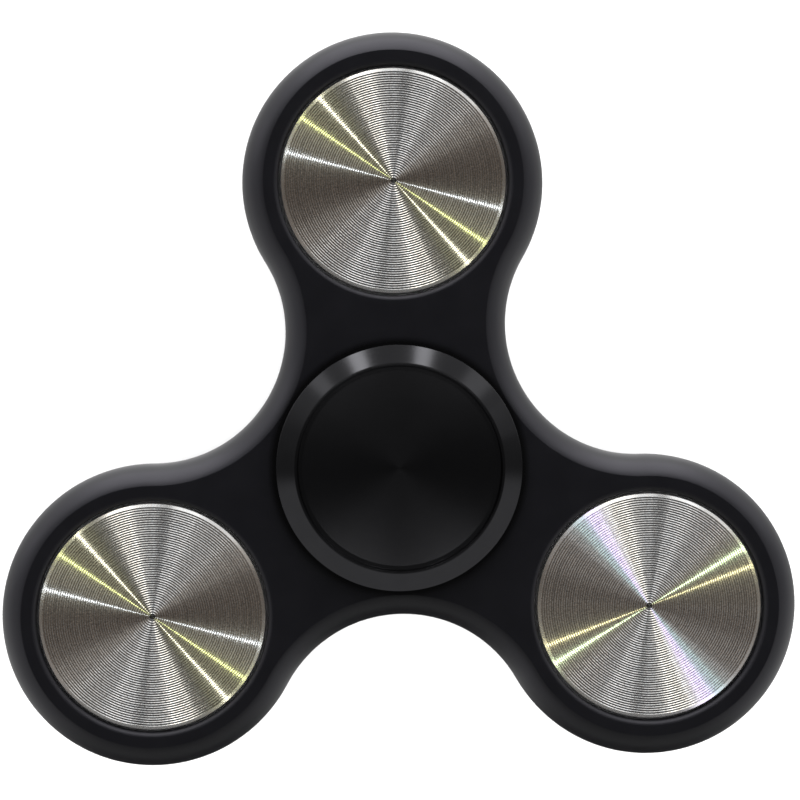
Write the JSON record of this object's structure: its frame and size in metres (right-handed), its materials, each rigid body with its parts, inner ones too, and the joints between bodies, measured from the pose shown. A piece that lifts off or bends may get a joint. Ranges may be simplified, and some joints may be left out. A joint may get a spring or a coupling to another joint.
{
  "type": "fidget spinner",
  "caption": "Pocket spinner: a lobed frame with weighted turned covers spins on a ball bearing between two dished finger caps.",
  "frame": {"origin": "centre of the ball bearing, on the spin axis at mid-thickness", "axes": "+Z along the spin axis out of the front cap; +Y from the bearing towards lobe a; +X completes a right-handed frame"},
  "size_m": [0.078, 0.0716, 0.0118],
  "materials": {
    "frame_plastic": "fine satin moulded",
    "cap_anodised": "turned, black anodised",
    "cover_aluminium": "face turned in fine concentric grooves",
    "weight_steel": "turned",
    "bearing_steel": "ground",
    "ball_steel": "polished",
    "cage_steel": "pressed sheet",
    "shield_steel": "pressed sheet"
  },
  "bodies": {
    "hub": {"front_cap": "cap_anodised", "rear_cap": "cap_anodised", "bearing_inner_ring": "bearing_steel"},
    "rotor": {"spinner_frame": "frame_plastic", "counterweight_a": "weight_steel", "counterweight_b": "weight_steel", "counterweight_c": "weight_steel", "front_cover_a": "cover_aluminium", "front_cover_b": "cover_aluminium", "front_cover_c": "cover_aluminium", "rear_cover_a": "cover_aluminium", "rear_cover_b": "cover_aluminium", "rear_cover_c": "cover_aluminium", "bearing_outer_ring": "bearing_steel", "bearing_shield_front": "shield_steel", "bearing_shield_rear": "shield_steel"},
    "cage": {"bearing_cage_front": "cage_steel", "bearing_cage_rear": "cage_steel", "bearing_cage_rivets": "cage_steel"},
    "ball_1": {"bearing_ball_1": "ball_steel"},
    "ball_2": {"bearing_ball_2": "ball_steel"},
    "ball_3": {"bearing_ball_3": "ball_steel"},
    "ball_4": {"bearing_ball_4": "ball_steel"},
    "ball_5": {"bearing_ball_5": "ball_steel"},
    "ball_6": {"bearing_ball_6": "ball_steel"},
    "ball_7": {"bearing_ball_7": "ball_steel"}
  },
  "joints": [
    {"name": "spin", "type": "hinge", "parent": "hub", "child": "rotor", "pos_m": [0, 0, 0], "axis": [0, 0, 1], "continuous": true},
    {"name": "cage_turn", "type": "hinge", "parent": "hub", "child": "cage", "pos_m": [0, 0, 0], "axis": [0, 0, 1], "continuous": true},
    {"name": "ball_1_roll", "type": "hinge", "parent": "cage", "child": "ball_1", "pos_m": [0, 0.0075, 0], "axis": [0, 0, 1], "continuous": true},
    {"name": "ball_2_roll", "type": "hinge", "parent": "cage", "child": "ball_2", "pos_m": [-0.00586, 0.00468, 0], "axis": [0, 0, 1], "continuous": true},
    {"name": "ball_3_roll", "type": "hinge", "parent": "cage", "child": "ball_3", "pos_m": [-0.00731, -0.00167, 0], "axis": [0, 0, 1], "continuous": true},
    {"name": "ball_4_roll", "type": "hinge", "parent": "cage", "child": "ball_4", "pos_m": [-0.00325, -0.00676, 0], "axis": [0, 0, 1], "continuous": true},
    {"name": "ball_5_roll", "type": "hinge", "parent": "cage", "child": "ball_5", "pos_m": [0.00325, -0.00676, 0], "axis": [0, 0, 1], "continuous": true},
    {"name": "ball_6_roll", "type": "hinge", "parent": "cage", "child": "ball_6", "pos_m": [0.00731, -0.00167, 0], "axis": [0, 0, 1], "continuous": true},
    {"name": "ball_7_roll", "type": "hinge", "parent": "cage", "child": "ball_7", "pos_m": [0.00586, 0.00468, 0], "axis": [0, 0, 1], "continuous": true}
  ],
  "couplings": [
    {"joint": "cage_turn", "follows": "spin", "ratio": 0.63227},
    {"joint": "ball_1_roll", "follows": "spin", "ratio": 1.7579},
    {"joint": "ball_2_roll", "follows": "spin", "ratio": 1.7579},
    {"joint": "ball_3_roll", "follows": "spin", "ratio": 1.7579},
    {"joint": "ball_4_roll", "follows": "spin", "ratio": 1.7579},
    {"joint": "ball_5_roll", "follows": "spin", "ratio": 1.7579},
    {"joint": "ball_6_roll", "follows": "spin", "ratio": 1.7579},
    {"joint": "ball_7_roll", "follows": "spin", "ratio": 1.7579}
  ]
}
